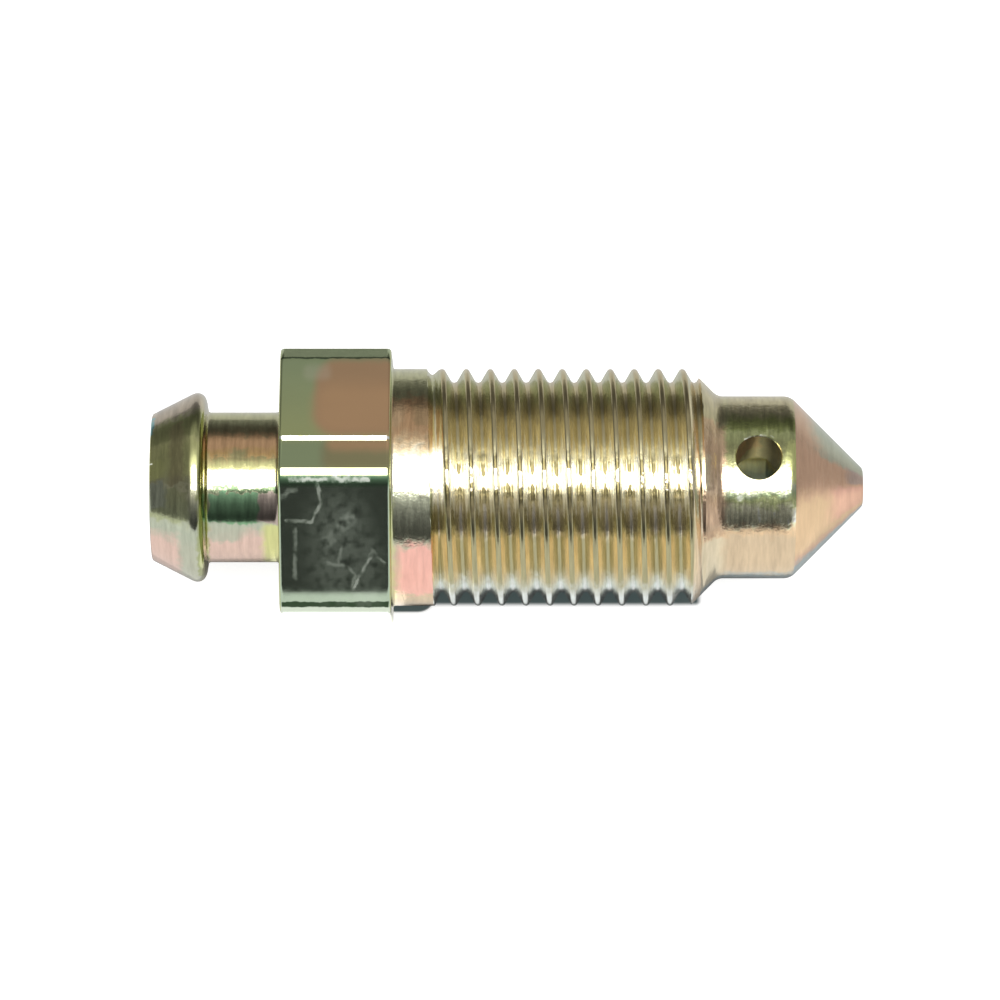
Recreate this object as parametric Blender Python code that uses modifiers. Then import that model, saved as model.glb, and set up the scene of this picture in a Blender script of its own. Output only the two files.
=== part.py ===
"""A bleeder screw: one turned, threaded and cross-drilled piece of plated steel.

It lies on a flat of its hexagon, with its axis along X, the hose nipple at -X and the sealing cone
at +X. The origin is below the middle of its length, on the surface that it lies on. Lengths are in
metres and angles in degrees.
"""

import math

import bmesh
import bpy
from mathutils import Matrix, Vector

# Hose nipple
NIPPLE_END_DIAMETER = 0.00622
NIPPLE_END_ROUND = 0.00012
BULB_DIAMETER = 0.0079
BULB_CREST_ROUND = 0.0005
BULB_FRONT_ANGLE = 27.5
BULB_BACK_ANGLE = 66.0
NECK_DIAMETER = 0.00625
NECK_LENGTH = 0.00297
NECK_FILLET = 0.0002

# Hexagon
HEX_ACROSS_FLATS = 0.011
HEX_LENGTH = 0.0046
HEX_CORNER_ROUND = 0.00095
HEX_EDGE_ROUND = 0.00015
HEX_FILLET = 0.00015

# Shoulder and thread
THREAD_DIAMETER = 0.00988
THREAD_PITCH = 0.001
THREAD_LENGTH = 0.01125
THREAD_RAMP_TURNS = 2.0
THREAD_START_ANGLE = 266.0
SHOULDER_LENGTH = 0.00115
CHAMFER_ANGLE = 45.0
TAIL_FILLET = 0.0005

# Tail, cross hole and sealing cone
TAIL_DIAMETER = 0.0076
TAIL_LENGTH = 0.00303
CONE_HALF_ANGLE = 45.0
CONE_EDGE_ROUND = 0.0002
TIP_DIAMETER = 0.00154
TIP_ROUND = 0.00025
CROSS_HOLE_DIAMETER = 0.00193
CROSS_HOLE_TO_CONE = 0.00143
CROSS_HOLE_ELEVATION = 73.4

# Bore
BORE_DIAMETER = 0.0028
BORE_MOUTH_CHAMFER = 0.0003
BORE_PAST_HOLE = 0.00046
DRILL_POINT_ANGLE = 118.0

# Finish
PLATING_COLOUR = (0.56, 0.49, 0.29, 1.0)
PLATING_ROUGHNESS = 0.22
SHARP_ANGLE = 35.0

# Facets of the round shapes, and how far a cutter stands clear of what it cuts
SIDES = 32
HOLE_SIDES = 32
ARC_STEP = math.radians(22.5)
CORNER_SEGMENTS = 4
EDGE_SEGMENTS = 2
CUTTER_CLEARANCE = 0.0003
RUN_IN_CLEARANCE = 0.00003
MERGE_DISTANCE = 0.000001

# Form of a 60 degree thread, as shares of its pitch
CREST_FLAT = 1 / 8
ROOT_FLAT = 1 / 4
THREAD_DEPTH = (1 - CREST_FLAT - ROOT_FLAT) / (2 * math.tan(math.radians(30)))

# Radii
end_radius = NIPPLE_END_DIAMETER / 2
bulb_radius = BULB_DIAMETER / 2
neck_radius = NECK_DIAMETER / 2
thread_radius = THREAD_DIAMETER / 2
tail_radius = TAIL_DIAMETER / 2
tip_radius = TIP_DIAMETER / 2
bore_radius = BORE_DIAMETER / 2

# Distances along the axis, from the nipple's end
bulb_front = math.radians(BULB_FRONT_ANGLE)
bulb_back = math.radians(BULB_BACK_ANGLE)
crest_cut = math.cos((bulb_back - bulb_front) / 2) / math.cos((bulb_back + bulb_front) / 2) - 1
bulb_corner_radius = bulb_radius + BULB_CREST_ROUND * crest_cut
bulb_corner_at = (bulb_corner_radius - end_radius) / math.tan(bulb_front)
neck_at = bulb_corner_at + (bulb_corner_radius - neck_radius) / math.tan(bulb_back)
hex_at = neck_at + NECK_LENGTH
shoulder_at = hex_at + HEX_LENGTH
thread_at = shoulder_at + SHOULDER_LENGTH
chamfer_at = thread_at + THREAD_LENGTH
tail_at = chamfer_at + (thread_radius - tail_radius) / math.tan(math.radians(CHAMFER_ANGLE))
cone_at = tail_at + TAIL_LENGTH
tip_at = cone_at + (tail_radius - tip_radius) / math.tan(math.radians(CONE_HALF_ANGLE))
cross_hole_at = cone_at - CROSS_HOLE_TO_CONE
bore_end_at = cross_hole_at + BORE_PAST_HOLE
bore_point_at = bore_end_at + bore_radius / math.tan(math.radians(DRILL_POINT_ANGLE / 2))


def clear_scene():
    """Removes every object, so that the scene holds the screw alone."""
    for obj in list(bpy.data.objects):
        bpy.data.objects.remove(obj)


def add_collection(name):
    """A new collection in the scene."""
    collection = bpy.data.collections.new(name)
    bpy.context.scene.collection.children.link(collection)
    return collection


def plating_material():
    """Steel with a yellow zinc plating."""
    material = bpy.data.materials.new("yellow_zinc")
    material.use_nodes = True
    shader = material.node_tree.nodes["Principled BSDF"]
    shader.inputs["Base Color"].default_value = PLATING_COLOUR
    shader.inputs["Metallic"].default_value = 1.0
    shader.inputs["Roughness"].default_value = PLATING_ROUGHNESS
    material.diffuse_color = PLATING_COLOUR
    return material


def rounded_corner(before, corner, after, radius):
    """Points of the arc that rounds a corner of an outline, no wider than its sides allow."""
    into = before - corner
    out = after - corner
    half = into.angle(out) / 2
    reach = min(radius / math.tan(half), 0.45 * min(into.length, out.length))
    radius = reach * math.tan(half)
    centre = corner + (into.normalized() + out.normalized()).normalized() * radius / math.sin(half)
    start = corner + into.normalized() * reach - centre
    turn = math.copysign(math.pi - 2 * half, out.cross(into))
    steps = max(1, math.ceil(abs(turn) / ARC_STEP))
    return [centre + Matrix.Rotation(turn * i / steps, 2) @ start for i in range(steps + 1)]


def turned_profile(corners):
    """The points of a turned outline, from corners of (distance along the axis, radius, rounding)."""
    places = [Vector((radius, along)) for along, radius, _ in corners]
    points = [places[0]]
    for i in range(1, len(corners) - 1):
        if corners[i][2]:
            points += rounded_corner(places[i - 1], places[i], places[i + 1], corners[i][2])
        else:
            points.append(places[i])
    return points + [places[-1]]


def turned_object(name, corners, sides):
    """A solid of revolution about Z. Its outline starts and ends on the axis, lowest point first."""
    points = list(reversed(turned_profile(corners)))
    mesh = bpy.data.meshes.new(name)
    edges = [(i, i + 1) for i in range(len(points) - 1)]
    mesh.from_pydata([(point.x, 0.0, point.y) for point in points], edges, [])
    obj = bpy.data.objects.new(name, mesh)
    screw = obj.modifiers.new("turned", "SCREW")
    screw.axis = "Z"
    screw.angle = math.tau
    screw.steps = sides
    screw.render_steps = sides
    screw.use_merge_vertices = True
    screw.merge_threshold = MERGE_DISTANCE
    screw.use_smooth_shade = True
    return obj


def blank_corners():
    """The outline of the turned blank, from the nipple's end to the tip of the cone."""
    hex_middle = hex_at + HEX_LENGTH / 2
    sink = HEX_EDGE_ROUND
    return [
        (0.0, 0.0, 0.0),
        (0.0, end_radius, NIPPLE_END_ROUND),
        (bulb_corner_at, bulb_corner_radius, BULB_CREST_ROUND),
        (neck_at, neck_radius, NECK_FILLET),
        (hex_at - HEX_FILLET, neck_radius, HEX_FILLET / 2),
        (hex_at + sink, neck_radius + HEX_FILLET + sink, 0.0),
        (hex_middle, neck_radius + HEX_FILLET + sink, 0.0),
        (hex_middle, thread_radius + HEX_FILLET + sink, 0.0),
        (shoulder_at - sink, thread_radius + HEX_FILLET + sink, 0.0),
        (shoulder_at + HEX_FILLET, thread_radius, HEX_FILLET / 2),
        (chamfer_at, thread_radius, 0.0),
        (tail_at, tail_radius, TAIL_FILLET),
        (cone_at, tail_radius, CONE_EDGE_ROUND),
        (tip_at, tip_radius, TIP_ROUND),
        (tip_at, 0.0, 0.0),
    ]


def bore_corners():
    """The outline of the drilled bore, from outside the nipple's end to the drill's point."""
    mouth_radius = bore_radius + BORE_MOUTH_CHAMFER
    return [
        (-CUTTER_CLEARANCE, 0.0, 0.0),
        (-CUTTER_CLEARANCE, mouth_radius + CUTTER_CLEARANCE, 0.0),
        (BORE_MOUTH_CHAMFER, bore_radius, 0.0),
        (bore_end_at, bore_radius, 0.0),
        (bore_point_at, 0.0, 0.0),
    ]


def hexagon_object():
    """The hexagon, with rounded corners and lightly rounded ends. Its flats face -X and +X."""
    bm = bmesh.new()
    corner_radius = HEX_ACROSS_FLATS / 2 / math.cos(math.radians(30))
    bmesh.ops.create_cone(
        bm,
        cap_ends=True,
        segments=6,
        radius1=corner_radius,
        radius2=corner_radius,
        depth=HEX_LENGTH,
        matrix=Matrix.Translation((0, 0, hex_at + HEX_LENGTH / 2)),
    )
    long_edges = [e for e in bm.edges if abs(e.verts[0].co.z - e.verts[1].co.z) > HEX_LENGTH / 2]
    bmesh.ops.bevel(
        bm,
        geom=long_edges,
        offset=HEX_CORNER_ROUND * math.tan(math.radians(30)),
        offset_type="OFFSET",
        segments=CORNER_SEGMENTS,
        profile=0.5,
        affect="EDGES",
        material=-1,
    )
    mesh = bpy.data.meshes.new("hexagon")
    bm.to_mesh(mesh)
    bm.free()
    obj = bpy.data.objects.new("hexagon", mesh)
    edges = obj.modifiers.new("end_rounding", "BEVEL")
    edges.width = HEX_EDGE_ROUND
    edges.segments = EDGE_SEGMENTS
    edges.limit_method = "ANGLE"
    edges.angle_limit = math.radians(60)
    return obj


def cross_hole_object():
    """The drilled cross hole, from the middle of the bore out through the tail."""
    length = tail_radius + CUTTER_CLEARANCE
    bm = bmesh.new()
    bmesh.ops.create_cone(
        bm,
        cap_ends=True,
        segments=HOLE_SIDES,
        radius1=CROSS_HOLE_DIAMETER / 2,
        radius2=CROSS_HOLE_DIAMETER / 2,
        depth=length,
        matrix=Matrix.Translation((0, 0, length / 2)),
    )
    mesh = bpy.data.meshes.new("cross_hole")
    bm.to_mesh(mesh)
    bm.free()
    obj = bpy.data.objects.new("cross_hole", mesh)
    obj.rotation_euler = (0, math.radians(90), math.radians(270 - CROSS_HOLE_ELEVATION))
    obj.location = (0, 0, cross_hole_at)
    return obj


def raise_run_in(bm, thread_start, depth):
    """Lifts the start of the groove's cutter outwards, less and less along the thread's first turns."""
    ramp_length = THREAD_RAMP_TURNS * THREAD_PITCH
    for vert in bm.verts:
        lift = depth * max(0.0, 1 - (vert.co.z - thread_start) / ramp_length)
        vert.co += Vector((vert.co.x, vert.co.y, 0.0)).normalized() * lift


def thread_groove_object():
    """The thread's groove, a right-hand helix that deepens over its first turns."""
    depth = THREAD_DEPTH * THREAD_PITCH
    root = thread_radius - depth
    top = thread_radius + CUTTER_CLEARANCE
    narrow = THREAD_PITCH * ROOT_FLAT / 2
    wide = THREAD_PITCH * (1 - CREST_FLAT) / 2
    lead = narrow + RUN_IN_CLEARANCE * THREAD_RAMP_TURNS * THREAD_PITCH / depth
    length = lead + tail_at + THREAD_PITCH - thread_at
    steps = math.ceil(length / THREAD_PITCH * SIDES)
    bm = bmesh.new()
    section = [
        bm.verts.new((radius, 0.0, along))
        for radius, along in (
            (root, -narrow),
            (thread_radius, -wide),
            (top, -wide),
            (top, wide),
            (thread_radius, wide),
            (root, narrow),
        )
    ]
    face = bm.faces.new(section)
    bmesh.ops.spin(
        bm,
        geom=[face, *face.edges, *face.verts],
        cent=(0, 0, 0),
        axis=(0, 0, 1),
        dvec=(0, 0, THREAD_PITCH / SIDES),
        angle=math.tau * steps / SIDES,
        steps=steps,
    )
    raise_run_in(bm, lead, depth)
    bmesh.ops.recalc_face_normals(bm, faces=bm.faces)
    mesh = bpy.data.meshes.new("thread_groove")
    bm.to_mesh(mesh)
    bm.free()
    obj = bpy.data.objects.new("thread_groove", mesh)
    obj.location = (0, 0, thread_at - lead)
    obj.rotation_euler = (0, 0, math.radians(THREAD_START_ANGLE))
    return obj


def combine(obj, tool, operation):
    """Joins another object to this one, or cuts it out."""
    boolean = obj.modifiers.new(tool.name, "BOOLEAN")
    boolean.operation = operation
    boolean.solver = "EXACT"
    boolean.object = tool


def finish(obj):
    """Gives the piece its finished mesh, smooth on round faces and sharp at its edges."""
    graph = bpy.context.evaluated_depsgraph_get()
    mesh = bpy.data.meshes.new_from_object(obj.evaluated_get(graph))
    obj.modifiers.clear()
    obj.data = mesh
    mesh.name = obj.name
    mesh.shade_smooth()
    mesh.set_sharp_from_angle(angle=math.radians(SHARP_ANGLE))


def build():
    """Models the screw in its own frame, with the nipple's end at the frame's origin and +Z to the tip."""
    clear_scene()
    parts = add_collection("bleeder_screw")
    tools = add_collection("construction")
    axis = bpy.data.objects.new("screw_axis", None)
    parts.objects.link(axis)
    axis.location = (-tip_at / 2, 0, HEX_ACROSS_FLATS / 2)
    axis.rotation_euler = (0, math.radians(90), 0)

    screw = turned_object("bleeder_screw", blank_corners(), SIDES)
    screw.data.materials.append(plating_material())
    parts.objects.link(screw)
    screw.parent = axis

    hexagon = hexagon_object()
    groove = thread_groove_object()
    bore = turned_object("bore", bore_corners(), HOLE_SIDES)
    cross_hole = cross_hole_object()
    for tool in (hexagon, groove, bore, cross_hole):
        tools.objects.link(tool)
        tool.parent = axis
        tool.hide_render = True
        tool.display_type = "WIRE"
    bpy.context.view_layer.update()

    combine(screw, hexagon, "UNION")
    combine(screw, groove, "DIFFERENCE")
    combine(screw, bore, "DIFFERENCE")
    combine(screw, cross_hole, "DIFFERENCE")
    finish(screw)


build()
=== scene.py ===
# %% [markdown]
# # A bleeder screw in yellow zinc
#
# A bleeder screw closes the highest point of a hydraulic brake or clutch. A hose is pushed over the
# nipple, the hexagon is turned a little, and air and fluid leave through the cross hole and the bore.
# It is turned from one hexagonal bar, so this lesson shapes it as one closed mesh: two turned
# sections, the hexagon between them, a rolled thread and a drilled cross hole.
#
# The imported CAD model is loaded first. It gives the frame that everything is placed in, and its box
# is kept, because the finished piece has to stay inside it.

import math

import bmesh
import bpy
from mathutils import Matrix, Vector, noise


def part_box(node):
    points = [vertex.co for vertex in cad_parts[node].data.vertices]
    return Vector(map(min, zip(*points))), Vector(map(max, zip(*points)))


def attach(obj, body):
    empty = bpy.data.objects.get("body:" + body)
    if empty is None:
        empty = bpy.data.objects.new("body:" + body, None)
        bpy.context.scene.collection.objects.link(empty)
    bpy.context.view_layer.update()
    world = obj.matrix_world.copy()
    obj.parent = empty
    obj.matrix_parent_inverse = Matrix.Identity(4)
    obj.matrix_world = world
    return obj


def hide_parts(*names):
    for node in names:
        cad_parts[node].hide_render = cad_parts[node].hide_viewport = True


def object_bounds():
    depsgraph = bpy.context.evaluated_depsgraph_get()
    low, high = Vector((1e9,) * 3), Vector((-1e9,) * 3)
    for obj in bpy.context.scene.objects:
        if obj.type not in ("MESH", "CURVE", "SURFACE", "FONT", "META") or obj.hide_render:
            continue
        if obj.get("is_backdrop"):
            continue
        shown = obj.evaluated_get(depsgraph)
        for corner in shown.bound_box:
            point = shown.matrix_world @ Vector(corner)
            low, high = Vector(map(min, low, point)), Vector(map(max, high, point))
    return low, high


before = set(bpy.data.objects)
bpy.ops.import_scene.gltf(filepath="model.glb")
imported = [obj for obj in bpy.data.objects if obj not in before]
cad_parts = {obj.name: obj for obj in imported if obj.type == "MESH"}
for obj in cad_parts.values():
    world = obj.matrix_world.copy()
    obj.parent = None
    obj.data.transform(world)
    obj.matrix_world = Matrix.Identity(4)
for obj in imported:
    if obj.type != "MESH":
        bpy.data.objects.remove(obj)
cad_low, cad_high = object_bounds()
node_low, node_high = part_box("bleeder_screw")
print("CAD box in mm:", [round(1000 * side, 2) for side in node_high - node_low])

# %% [markdown]
# ## Places along the screw
#
# A turner reads a drawing from one end, so every place here is a distance in millimetres from the
# nipple's end, and a radius. One helper turns both into a point of the frame, where the axis lies
# half a hexagon above the surface that the screw rests on.

# %% Places and sizes
MM = 0.001
AXIS_HEIGHT = 5.5
BORE_RADIUS, BORE_MOUTH = 1.4, 0.3
BORE_END_AT, DRILL_POINT_AT = 25.598, 26.439
NIPPLE_RADIUS = 3.046
BULB_AT, BULB_RADIUS = 2.165, 4.139
NECK_AT, NECK_RADIUS = 2.344, 3.125
HEX_AT, HEX_LENGTH, HEX_FLAT = 5.398, 4.6, 5.5
SHOULDER_AT = HEX_AT + HEX_LENGTH
THREAD_AT, THREAD_RADIUS = 11.148, 4.94
CHAMFER_AT, TAIL_AT, TAIL_RADIUS = 22.398, 23.538, 3.8
CONE_AT, TIP_AT, TIP_RADIUS = 26.568, 29.598, 0.77
HEX_RING = 5.2  # where the turned sections meet the hexagon's end faces
DISH = 0.02  # how far those faces are sunk inside that ring
AROUND = 120  # sides of every round shape
LONGEST_SIDE = 1.5

axis_point = Vector((0, 0, AXIS_HEIGHT * MM))
nipple_end = node_low.x


def place(along, radius):
    """The point at a distance along the screw and straight above its axis, from millimetres."""
    return Vector((nipple_end + along * MM, 0, (AXIS_HEIGHT + radius) * MM))


print("the tip lies at x =", round(place(TIP_AT, 0).x / MM, 2), "mm")

# %% [markdown]
# ## The turned outline
#
# A lathe makes round shapes by moving a tool along an outline. Blender's spin does the same with
# edges. The outline could be a curve, but a few vertices joined by edges are easier to read, and a
# vertex bevel rounds their corners as the tool's nose does.

# %% Draw an outline and spin it
def draw_outline(bm, corners):
    """Edges through corners of (along, radius, rounding radius), in millimetres."""
    verts = [bm.verts.new(place(along, radius)) for along, radius, _ in corners]
    for pair in zip(verts, verts[1:]):
        bm.edges.new(pair)
    sides = [b.co - a.co for a, b in zip(verts, verts[1:])]
    for i, (_, _, rounding) in enumerate(corners):
        if rounding:
            turn = sides[i - 1].angle(sides[i])
            bmesh.ops.bevel(
                bm,
                geom=[verts[i]],
                offset=rounding * MM * math.tan(turn / 2),
                offset_type="OFFSET",
                segments=max(3, round(math.degrees(turn) / 9)),
                profile=0.5,
                affect="VERTICES",
                material=-1,
            )


def split_sides(bm, longest):
    """Splits every edge of an outline that is longer than a length in millimetres."""
    for edge in list(bm.edges):
        cuts = math.ceil(edge.calc_length() / (longest * MM)) - 1
        if cuts > 0:
            bmesh.ops.subdivide_edges(bm, edges=[edge], cuts=cuts)


def spin_outline(bm):
    """Turns the outline once round the screw's axis and closes the seam."""
    bmesh.ops.spin(
        bm,
        geom=bm.verts[:] + bm.edges[:],
        cent=axis_point,
        axis=(1, 0, 0),
        dvec=(0, 0, 0),
        angle=math.tau,
        steps=AROUND,
        use_merge=True,
        use_duplicate=False,
    )
    bmesh.ops.remove_doubles(bm, verts=bm.verts[:], dist=1e-7)


# %% Turn the nipple with its bore
nipple = bmesh.new()
draw_outline(
    nipple,
    [
        (DRILL_POINT_AT, 0, 0),
        (BORE_END_AT, BORE_RADIUS, 0),
        (BORE_MOUTH, BORE_RADIUS, 0),
        (0, BORE_RADIUS + BORE_MOUTH, 0),
        (0, NIPPLE_RADIUS, 0.12),
        (BULB_AT, BULB_RADIUS, 0.42),
        (NECK_AT, NECK_RADIUS, 0.12),
        (HEX_AT + DISH, NECK_RADIUS, 0.28),
        (HEX_AT + DISH, HEX_RING, 0),
    ],
)
split_sides(nipple, LONGEST_SIDE)
spin_outline(nipple)
print("nipple and bore:", len(nipple.faces), "faces")

# %% Turn the shank, with close rings where the thread comes
RING_STEP = 0.035
shank = bmesh.new()
draw_outline(
    shank,
    [
        (SHOULDER_AT - DISH, HEX_RING, 0),
        (SHOULDER_AT - DISH, THREAD_RADIUS, 0.16),
        (CHAMFER_AT, THREAD_RADIUS, 0.2),
        (TAIL_AT, TAIL_RADIUS, 0.5),
        (CONE_AT, TAIL_RADIUS, 0.6),
        (TIP_AT, TIP_RADIUS, 0.25),
        (TIP_AT, 0, 0),
    ],
)
thread_from, thread_to = place(THREAD_AT - 0.7, 0).x, place(TAIL_AT - 0.1, 0).x
for edge in list(shank.edges):
    ends = sorted(vert.co.x for vert in edge.verts)
    if ends[0] < thread_to and ends[1] > thread_from:
        cuts = math.ceil((ends[1] - ends[0]) / (RING_STEP * MM)) - 1
        if cuts > 0:
            bmesh.ops.subdivide_edges(shank, edges=[edge], cuts=cuts)
split_sides(shank, LONGEST_SIDE)
spin_outline(shank)
print("plain shank:", len(shank.faces), "faces")

# %% [markdown]
# ## The rolled thread
#
# An M10 x 1 thread is rolled: two dies press grooves into the round blank, which leaves soft crests
# and roots. It could be a separate spiral that is joined on, but pressing the grooves into the
# turned blank, as the dies do, keeps the mesh closed. Each ring vertex is moved towards the axis by
# how far it lies from the nearest crest of the helix. The first turns fade in where the dies start,
# and the chamfer at the far end is already lower than the crests, so the grooves run out there.

# %% Roll the thread
PITCH = 1.0
CREST_ROUND, ROOT_ROUND = 0.14, 0.16
FLANK_ANGLE = math.radians(60)
CREST_PHASE = 12.07  # where a crest passes the upper edge of the picture
TOP_ANGLE = 144.0  # the angle of that upper edge round the axis
RUN_FROM, RUN_IN = 11.35, 0.65
BLEND = 0.06  # how softly the groove meets the blank
UNEVEN = 0.006


def groove_drop(from_crest):
    """How far the thread lies below its crest, at a distance along the axis from the crest."""
    crest_half = CREST_ROUND * math.sin(FLANK_ANGLE)
    root_half = ROOT_ROUND * math.sin(FLANK_ANGLE)
    flank_end = PITCH / 2 - root_half
    if from_crest < crest_half:
        return CREST_ROUND - math.sqrt(CREST_ROUND**2 - from_crest**2)
    if from_crest < flank_end:
        return CREST_ROUND / 2 + (from_crest - crest_half) * math.tan(FLANK_ANGLE)
    flank_drop = CREST_ROUND / 2 + (flank_end - crest_half) * math.tan(FLANK_ANGLE)
    bottom = flank_drop + ROOT_ROUND / 2
    return bottom - ROOT_ROUND + math.sqrt(ROOT_ROUND**2 - (PITCH / 2 - from_crest) ** 2)


def soft_lower(a, b, width):
    """The lower of two heights, with the corner between them rounded over a width."""
    share = min(1.0, max(0.0, 0.5 + 0.5 * (b - a) / width))
    return b + (a - b) * share - width * share * (1 - share)


THREAD_DEPTH = groove_drop(PITCH / 2)
for vert in shank.verts:
    if not thread_from < vert.co.x < thread_to:
        continue
    from_axis = vert.co - axis_point
    along = (vert.co.x - nipple_end) / MM
    angle = math.degrees(math.atan2(from_axis.z, -from_axis.y))
    blank = math.hypot(from_axis.y, from_axis.z) / MM
    turns = along - CREST_PHASE - (TOP_ANGLE - angle) / 360 * PITCH
    from_crest = abs(turns / PITCH - round(turns / PITCH)) * PITCH
    run_in = THREAD_DEPTH * max(0.0, 1 - (along - RUN_FROM) / RUN_IN)
    spot = Vector((2.2 * along, 0.5 * from_axis.y / MM, 0.5 * from_axis.z / MM))
    rolled = THREAD_RADIUS - groove_drop(from_crest) + run_in + UNEVEN * noise.noise(spot)
    radius = min(blank, soft_lower(rolled, blank + BLEND / 2, BLEND))
    vert.co.y *= radius / blank
    vert.co.z = axis_point.z + from_axis.z * radius / blank
print("thread depth in mm:", round(THREAD_DEPTH, 3))

# %% [markdown]
# ## The hexagon
#
# The hexagon is the drawn bar that was left unturned, 11 mm across its flats. Its long corners are
# rounded by the drawing die. It is drawn as six vertices, whose corners are rounded by a vertex
# bevel, and then extruded. Two of this screw's corners are worn to small facets, and the upper flat
# is 0.085 mm lower along its front, where a spanner has pressed it. The outline ends up with as many
# edges as the turned sections have sides, so that they can be joined edge by edge.

# %% Draw the hexagon's outline
CORNER_ROUND = 1.04
WORN_CORNERS = ((24, 5.711), (117, 6.096))  # angle round the axis, distance from it
STEP_FROM, STEP_TO, STEP_DROP = -1.4, -1.575, 0.085


def cut_corner(bm, geom, point, normal):
    """Cuts the outline by a plane and takes away what lies outside it."""
    bmesh.ops.bisect_plane(
        bm, geom=geom, dist=1e-8, plane_co=point, plane_no=normal, clear_outer=True
    )
    return [vert for vert in bm.verts if len(vert.link_edges) == 1]


hexagon = bmesh.new()
bmesh.ops.create_circle(
    hexagon,
    cap_ends=False,
    segments=6,
    radius=HEX_FLAT * MM / math.cos(math.radians(30)),
    matrix=Matrix.Translation(place(HEX_AT, 0)) @ Matrix.Rotation(math.radians(90), 4, "Y"),
)
bmesh.ops.bevel(
    hexagon,
    geom=hexagon.verts[:],
    offset=CORNER_ROUND * MM * math.tan(math.radians(30)),
    offset_type="OFFSET",
    segments=8,
    profile=0.5,
    affect="VERTICES",
    material=-1,
)
top = max(vert.co.z for vert in hexagon.verts)
print("hexagon outline:", len(hexagon.verts), "vertices, top at", round(top / MM, 3), "mm")

# %% Wear two corners and step the upper flat
def facet_plane(angle, from_axis):
    """A point and the outward direction of a facet that faces an angle round the axis."""
    turn = math.radians(angle)
    normal = Vector((0, -math.cos(turn), math.sin(turn)))
    return axis_point + normal * from_axis * MM, normal


for angle, from_axis in WORN_CORNERS:
    point, normal = facet_plane(angle, from_axis)
    ends = cut_corner(hexagon, hexagon.verts[:] + hexagon.edges[:], point, normal)
    hexagon.edges.new(ends)

flat_edge = max(hexagon.edges, key=lambda edge: edge.verts[0].co.z + edge.verts[1].co.z)
near, far = sorted(flat_edge.verts, key=lambda vert: vert.co.y)
share = (STEP_FROM * MM - near.co.y) / (far.co.y - near.co.y)
_, step_vert = bmesh.utils.edge_split(flat_edge, near, share)
low_point = Vector((step_vert.co.x, STEP_TO * MM, top - STEP_DROP * MM))
front = [v for v in hexagon.verts if v.co.y < step_vert.co.y - 1e-6 and v.co.z > axis_point.z]
front_edges = {edge for vert in front for edge in vert.link_edges}
ends = cut_corner(hexagon, front + list(front_edges), low_point, (0, 0, 1))
low_vert = hexagon.verts.new(low_point)
for vert in ends:
    hexagon.edges.new((vert, low_vert))
spare = AROUND - len(hexagon.edges)
long_edges = sorted(hexagon.edges, key=lambda edge: -edge.calc_length())[:6]
for i, edge in enumerate(long_edges):
    cuts = spare // 6 + (1 if i < spare % 6 else 0)
    bmesh.ops.subdivide_edges(hexagon, edges=[edge], cuts=cuts)
print("hexagon outline:", len(hexagon.edges), "edges")

# %% Extrude the hexagon and round its ends
END_ROUND = 0.15
LENGTH_CUTS = 9
outline_edges = hexagon.edges[:]
face = bmesh.ops.contextual_create(hexagon, geom=outline_edges)["faces"][0]
raised = bmesh.ops.extrude_face_region(hexagon, geom=[face], use_keep_orig=True)["geom"]
raised_verts = [item for item in raised if isinstance(item, bmesh.types.BMVert)]
bmesh.ops.translate(hexagon, verts=raised_verts, vec=(HEX_LENGTH * MM, 0, 0))
bmesh.ops.recalc_face_normals(hexagon, faces=hexagon.faces[:])
end_faces = sorted(hexagon.faces, key=lambda f: -f.calc_area())[:2]
bmesh.ops.bevel(
    hexagon,
    geom=[edge for end in end_faces for edge in end.edges],
    offset=END_ROUND * MM,
    offset_type="OFFSET",
    segments=4,
    profile=0.5,
    affect="EDGES",
    clamp_overlap=False,
    material=-1,
)
end_faces = sorted(hexagon.faces, key=lambda f: -f.calc_area())[:2]
bmesh.ops.delete(hexagon, geom=end_faces, context="FACES")
along_edges = [e for e in hexagon.edges if e.calc_length() > 0.5 * HEX_LENGTH * MM]
bmesh.ops.subdivide_edges(hexagon, edges=along_edges, cuts=LENGTH_CUTS, use_grid_fill=True)
for along in (HEX_AT + END_ROUND + 0.02, SHOULDER_AT - END_ROUND - 0.02):
    everything = hexagon.verts[:] + hexagon.edges[:] + hexagon.faces[:]
    bmesh.ops.bisect_plane(hexagon, geom=everything, plane_co=place(along, 0), plane_no=(1, 0, 0))
print("hexagon:", len(hexagon.faces), "faces")

# %% [markdown]
# ## One closed mesh
#
# The three meshes are put together and bridged across the hexagon's two end faces. Their open rings
# have the same number of vertices, so each bridge is one even band. A union by a Boolean modifier
# would work too, but it leaves thin triangles where the shapes cross.

# %% Join the sections
screw = bmesh.new()
for section in (nipple, hexagon, shank):
    mesh = bpy.data.meshes.new("section")
    section.to_mesh(mesh)
    section.free()
    screw.from_mesh(mesh)
    bpy.data.meshes.remove(mesh)
middle = place(HEX_AT + HEX_LENGTH / 2, 0).x
open_edges = [edge for edge in screw.edges if edge.is_boundary]
for side in (
    [edge for edge in open_edges if edge.verts[0].co.x < middle],
    [edge for edge in open_edges if edge.verts[0].co.x > middle],
):
    print("bridging", len(side), "edges")
    bmesh.ops.bridge_loops(screw, edges=side)
bmesh.ops.remove_doubles(screw, verts=screw.verts[:], dist=1e-7)
bmesh.ops.recalc_face_normals(screw, faces=screw.faces[:])
print("open edges left:", sum(not edge.is_manifold for edge in screw.edges))

# %% [markdown]
# ## The cross hole
#
# The cross hole is drilled through the tail's wall into the bore, and its rim is broken lightly. The
# drill is made as a closed spun tool whose rim is bent over the round tail, so that the broken edge
# has the same width all the way round. A Boolean modifier then takes the tool away.

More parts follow.
